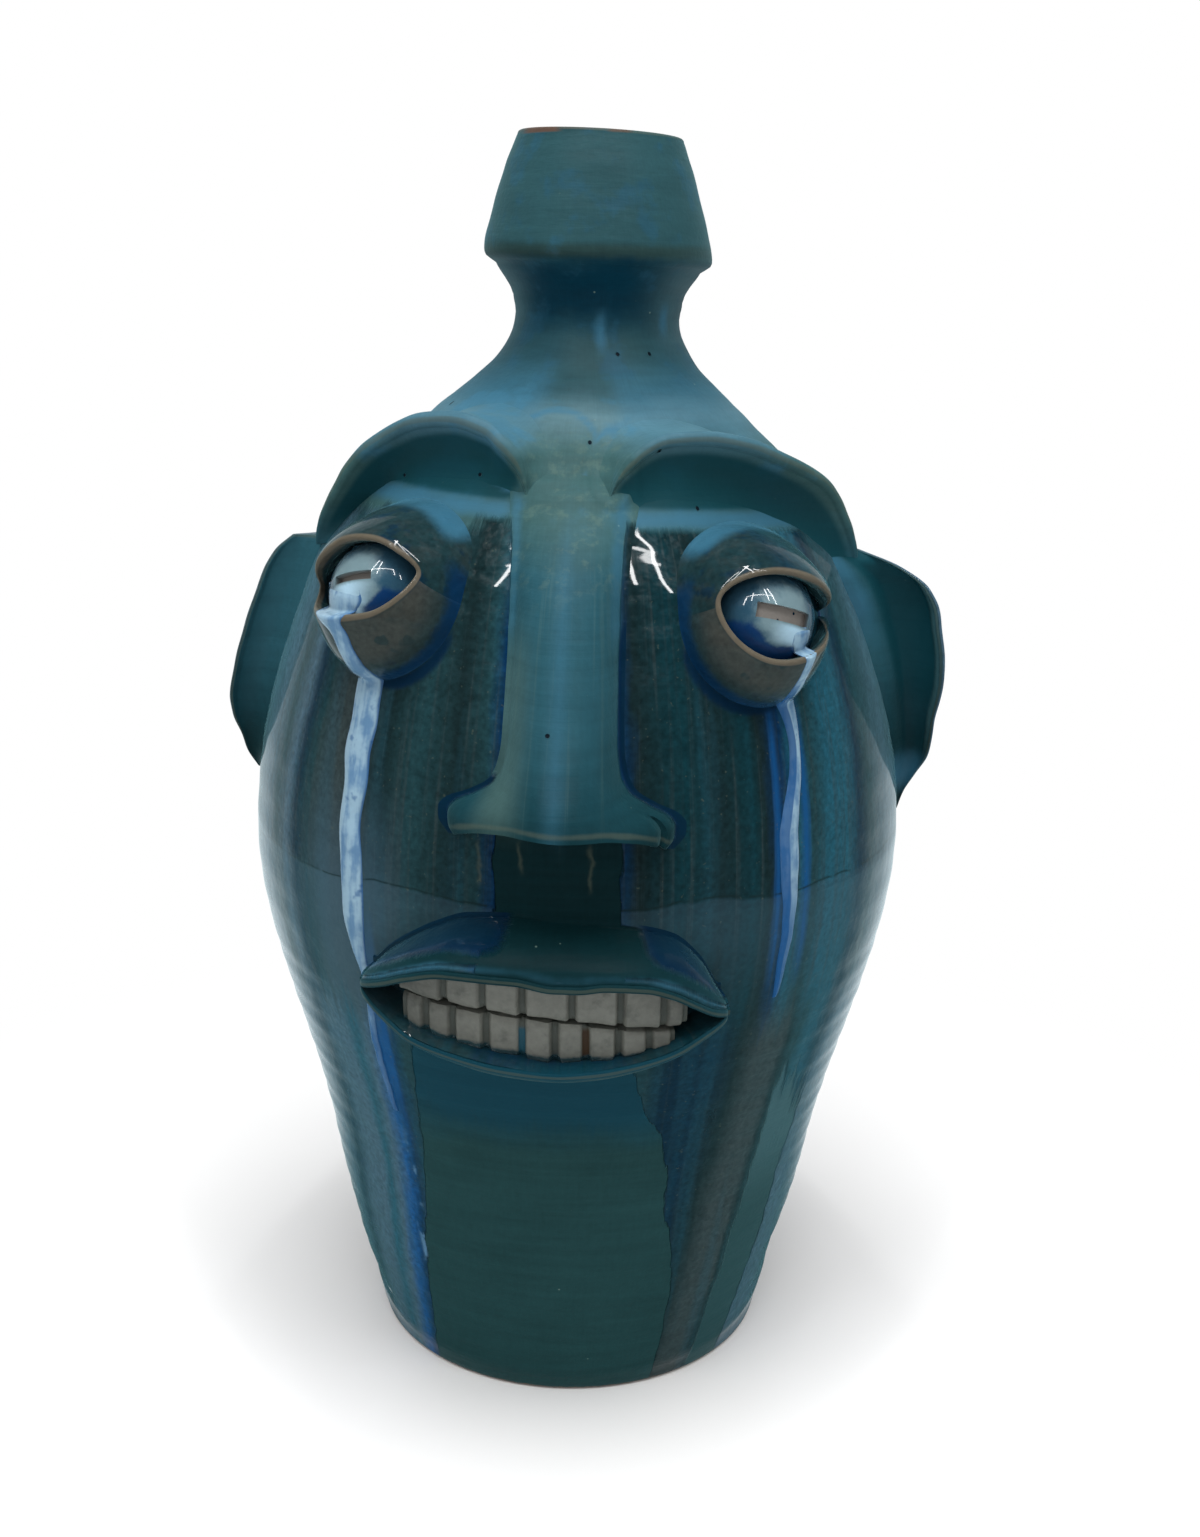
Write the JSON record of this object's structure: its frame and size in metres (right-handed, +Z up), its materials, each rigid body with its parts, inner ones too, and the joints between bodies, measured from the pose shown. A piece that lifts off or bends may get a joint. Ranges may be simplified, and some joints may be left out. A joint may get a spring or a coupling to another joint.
{
  "type": "face jug",
  "caption": "Stoneware jug with a grimacing applied-clay face, a tapered collar, a rear strap handle and melted glass runs under the eyes.",
  "frame": {"origin": "centre of the foot, on the surface that the jug stands on", "axes": "+Z up the pot's axis, -Y the way the face looks, +X to the face's own left"},
  "size_m": [0.1548, 0.1629, 0.27],
  "materials": {
    "teal_glaze": "satin, matte where it is thick and teal, glossy on the cheeks",
    "lid_glaze": "glossy, breaking to brown clay at the edges",
    "eye_glaze": "glossy",
    "tooth_clay": "matte bare white clay",
    "run_glass": "glossy melted opal glass"
  },
  "bodies": {
    "root": {"body": "teal_glaze", "neck_collar": "teal_glaze", "handle": "teal_glaze", "right_ear": "teal_glaze", "left_ear": "teal_glaze", "right_brow": "teal_glaze", "left_brow": "teal_glaze", "right_upper_lid": "lid_glaze", "right_lower_lid": "lid_glaze", "right_eyeball": "eye_glaze", "left_upper_lid": "lid_glaze", "left_lower_lid": "lid_glaze", "left_eyeball": "eye_glaze", "nose": "teal_glaze", "upper_lip": "teal_glaze", "lower_lip": "teal_glaze", "upper_teeth": "tooth_clay", "lower_teeth": "tooth_clay", "right_glass_run": "run_glass", "left_glass_run": "run_glass"}
  },
  "joints": []
}
